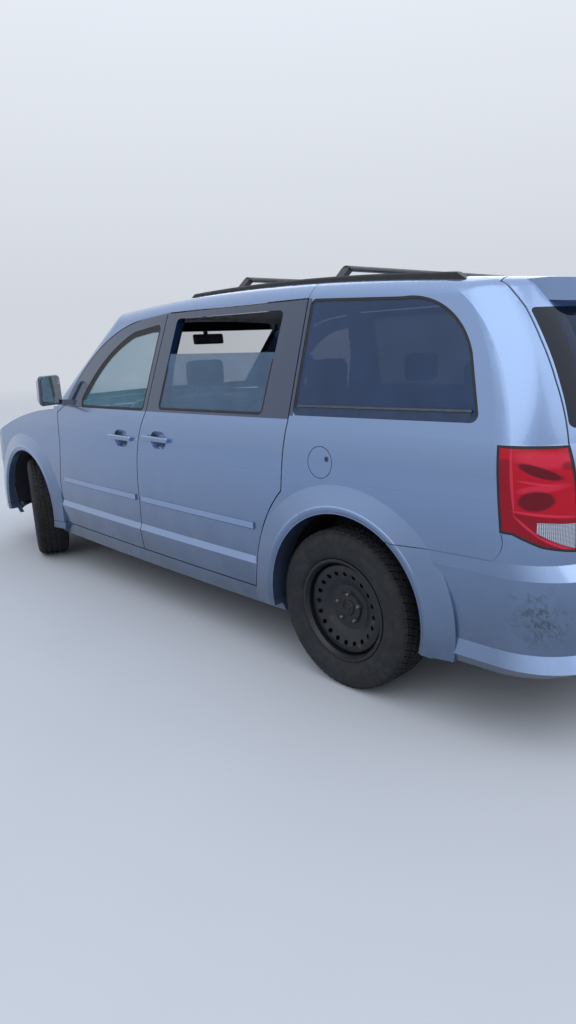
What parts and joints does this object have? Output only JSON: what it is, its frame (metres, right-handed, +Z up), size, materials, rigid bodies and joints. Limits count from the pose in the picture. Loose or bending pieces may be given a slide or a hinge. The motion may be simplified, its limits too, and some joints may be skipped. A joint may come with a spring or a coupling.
{
  "type": "minivan",
  "caption": "Long-wheelbase minivan with hinged front doors, fixed sliding doors, bonnet, liftgate, steered front wheels and a roof rack.",
  "frame": {"origin": "on the ground under the middle of the body's length and width", "axes": "+X forward, +Y to the van's left, +Z up"},
  "size_m": [5.1538, 2.2272, 1.8307],
  "materials": {
    "paint": "metallic",
    "black_trim": "satin",
    "window_glass": "gloss",
    "lamp_lens": "gloss",
    "cloth": "matte",
    "interior_plastic": "matte",
    "raw_steel": "matte",
    "cast_metal": "rough",
    "tank_plastic": "matte",
    "tyre": "matte",
    "black_steel": "satin"
  },
  "bodies": {
    "root": {"side_frame_left": "paint", "side_frame_right": "paint", "roof_panel": "paint", "floor_pan": "raw_steel", "engine_bay": "raw_steel", "fender_left": "paint", "fender_right": "paint", "front_bumper": "paint", "grille": "black_trim", "headlamps": "lamp_lens", "rear_bumper": "paint", "tail_lamps": "lamp_lens", "cowl_panel": "black_trim", "windscreen": "window_glass", "side_glass": "window_glass", "sliding_door_left": "paint", "sliding_door_right": "paint", "roof_rack": "black_trim", "seats": "cloth", "dashboard": "interior_plastic", "steering_wheel": "interior_plastic", "engine_block": "cast_metal", "front_subframe": "raw_steel", "rear_axle": "raw_steel", "exhaust": "raw_steel", "fuel_tank": "tank_plastic", "wheel_liners": "black_trim"},
    "front_left_door_body": {"front_left_door": "paint", "front_left_frame": "black_trim", "front_left_glass": "window_glass"},
    "front_right_door_body": {"front_right_door": "paint", "front_right_frame": "black_trim", "front_right_glass": "window_glass"},
    "hood_body": {"hood": "paint"},
    "liftgate_body": {"liftgate": "paint", "liftgate_glass": "window_glass", "rear_wiper": "black_trim"},
    "fuel_door_body": {"fuel_door": "paint"},
    "knuckle_left_body": {"knuckle_left": "raw_steel"},
    "knuckle_right_body": {"knuckle_right": "raw_steel"},
    "wheel_front_left": {"tyre_front_left": "tyre", "rim_front_left": "black_steel"},
    "wheel_front_right": {"tyre_front_right": "tyre", "rim_front_right": "black_steel"},
    "wheel_rear_left": {"tyre_rear_left": "tyre", "rim_rear_left": "black_steel"},
    "wheel_rear_right": {"tyre_rear_right": "tyre", "rim_rear_right": "black_steel"}
  },
  "joints": [
    {"name": "front_left_door_hinge", "type": "hinge", "parent": "root", "child": "front_left_door_body", "pos_m": [1.01, 0.955, 0.75], "axis": [0, 0, -1], "range_deg": [0, 65]},
    {"name": "front_right_door_hinge", "type": "hinge", "parent": "root", "child": "front_right_door_body", "pos_m": [1.01, -0.955, 0.75], "axis": [0, 0, 1], "range_deg": [0, 65]},
    {"name": "hood_hinge", "type": "hinge", "parent": "root", "child": "hood_body", "pos_m": [1.288, 0, 1.148], "axis": [0, -1, 0], "range_deg": [0, 45]},
    {"name": "liftgate_hinge", "type": "hinge", "parent": "root", "child": "liftgate_body", "pos_m": [-2.046, 0, 1.728], "axis": [0, 1, 0], "range_deg": [0, 80]},
    {"name": "fuel_door_hinge", "type": "hinge", "parent": "root", "child": "fuel_door_body", "pos_m": [-1.301, 0.948, 1.013], "axis": [0, 0, -1], "range_deg": [0, 85]},
    {"name": "steer_left", "type": "hinge", "parent": "root", "child": "knuckle_left_body", "pos_m": [1.625, 0.765, 0.215], "axis": [0, -0.1288, 0.9917], "range_deg": [-11, 55]},
    {"name": "steer_right", "type": "hinge", "parent": "root", "child": "knuckle_right_body", "pos_m": [1.625, -0.765, 0.215], "axis": [0, 0.1288, 0.9917], "range_deg": [-11, 55]},
    {"name": "spin_front_left", "type": "hinge", "parent": "knuckle_left_body", "child": "wheel_front_left", "pos_m": [1.65482, 0.82025, 0.36266], "axis": [0.3715, 0.9284, -0.0093], "continuous": true},
    {"name": "spin_front_right", "type": "hinge", "parent": "knuckle_right_body", "child": "wheel_front_right", "pos_m": [1.59518, -0.82025, 0.36266], "axis": [0.3715, 0.9284, 0.0093], "continuous": true},
    {"name": "spin_rear_left", "type": "hinge", "parent": "root", "child": "wheel_rear_left", "pos_m": [-1.453, 0.826, 0.362], "axis": [0, 1, 0], "continuous": true},
    {"name": "spin_rear_right", "type": "hinge", "parent": "root", "child": "wheel_rear_right", "pos_m": [-1.453, -0.826, 0.362], "axis": [0, 1, 0], "continuous": true}
  ],
  "couplings": [
    {"joint": "steer_right", "follows": "steer_left", "ratio": 1}
  ]
}
